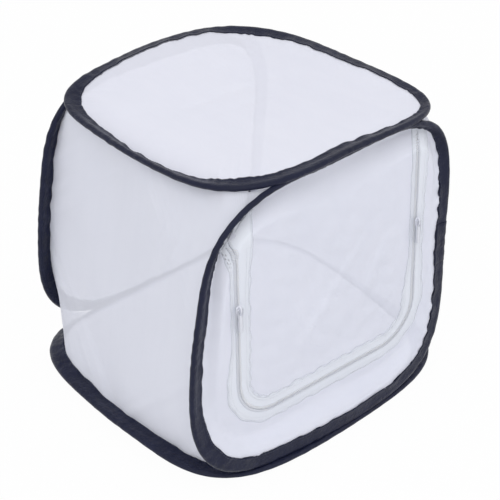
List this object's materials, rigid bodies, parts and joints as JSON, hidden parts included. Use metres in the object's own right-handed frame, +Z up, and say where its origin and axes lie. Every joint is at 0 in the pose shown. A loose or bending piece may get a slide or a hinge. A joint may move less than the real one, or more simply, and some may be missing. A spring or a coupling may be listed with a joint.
{
  "type": "insect cage",
  "caption": "Pop-up insect cage: a soft net cube on sewn spring-wire hoops, with a U-shaped zip and a door flap that opens outwards.",
  "frame": {"origin": "bottom centre: midway between the hoops on the surface that the bottom hoop rests on", "axes": "+Z up, -Y out through the zipped door, +X to the right of someone facing the door"},
  "size_m": [0.325, 0.3002, 0.288],
  "materials": {
    "binding": "navy satin weave tape with a slight sheen and a stitched edge",
    "net": "fine bluish white net, partly see-through",
    "zip_tape": "white woven zip tape",
    "zip_coil": "white nylon coil",
    "spring_wire": "drawn spring steel",
    "slider": "pale lacquered die-cast metal",
    "pull": "pale lacquered die-cast metal"
  },
  "bodies": {
    "bottom": {"bottom_hoop_wire": "spring_wire", "bottom_wire_ferrule": "spring_wire", "bottom_binding": "binding", "bottom_net": "net", "left_net": "net", "right_net": "net"},
    "front": {"front_hoop_wire": "spring_wire", "front_wire_ferrule": "spring_wire", "front_binding": "binding", "front_net": "net", "zip_tape_frame": "zip_tape", "zip_coil_frame": "zip_coil", "zip_tape_left_upper": "zip_tape", "zip_tape_right_upper": "zip_tape", "zip_coil_left_upper": "zip_coil", "zip_coil_right_upper": "zip_coil"},
    "flap": {"door_flap": "net", "zip_tape_flap": "zip_tape", "zip_coil_flap": "zip_coil"},
    "slider_left": {"zip_slider_left": "slider"},
    "slider_right": {"zip_slider_right": "slider"},
    "pull_left": {"zip_pull_left": "pull"},
    "pull_right": {"zip_pull_right": "pull"},
    "back": {"back_hoop_wire": "spring_wire", "back_wire_ferrule": "spring_wire", "back_binding": "binding", "back_net": "net"},
    "top": {"top_hoop_wire": "spring_wire", "top_wire_ferrule": "spring_wire", "top_binding": "binding", "top_net": "net"}
  },
  "joints": [
    {"name": "back_fold", "type": "hinge", "parent": "bottom", "child": "back", "pos_m": [0, 0.1454, 0.0026], "axis": [-1, 0, 0], "range_deg": [0, 90], "stiffness_Nm_per_rad": 1, "deforming": ["left_net", "right_net"]},
    {"name": "front_fold", "type": "hinge", "parent": "bottom", "child": "front", "pos_m": [0, -0.14265, 0.00535], "axis": [-1, 0, 0], "range_deg": [0, 90], "deforming": ["left_net", "right_net"]},
    {"name": "top_fold", "type": "hinge", "parent": "back", "child": "top", "pos_m": [0, 0.14265, 0.28265], "axis": [-1, 0, 0], "range_deg": [-90, 0], "deforming": ["left_net", "right_net"]},
    {"name": "flap_fold", "type": "hinge", "parent": "front", "child": "flap", "pos_m": [0, -0.14835, 0.15], "axis": [-1, 0, 0], "range_deg": [0, 150]},
    {"name": "slide_left", "type": "slide", "parent": "front", "child": "slider_left", "axis": [0, 0, 1], "range_m": [-0.075, 0.06]},
    {"name": "slide_right", "type": "slide", "parent": "front", "child": "slider_right", "axis": [0, 0, 1], "range_m": [-0.075, 0.06]},
    {"name": "pull_left_swing", "type": "hinge", "parent": "slider_left", "child": "pull_left", "pos_m": [-0.115, -0.15045, 0.1835], "axis": [-1, 0, 0], "range_deg": [0, 180]},
    {"name": "pull_right_swing", "type": "hinge", "parent": "slider_right", "child": "pull_right", "pos_m": [0.095, -0.15045, 0.1835], "axis": [-1, 0, 0], "range_deg": [0, 180]}
  ],
  "couplings": [
    {"joint": "front_fold", "follows": "back_fold", "ratio": 1},
    {"joint": "top_fold", "follows": "back_fold", "ratio": -1}
  ]
}
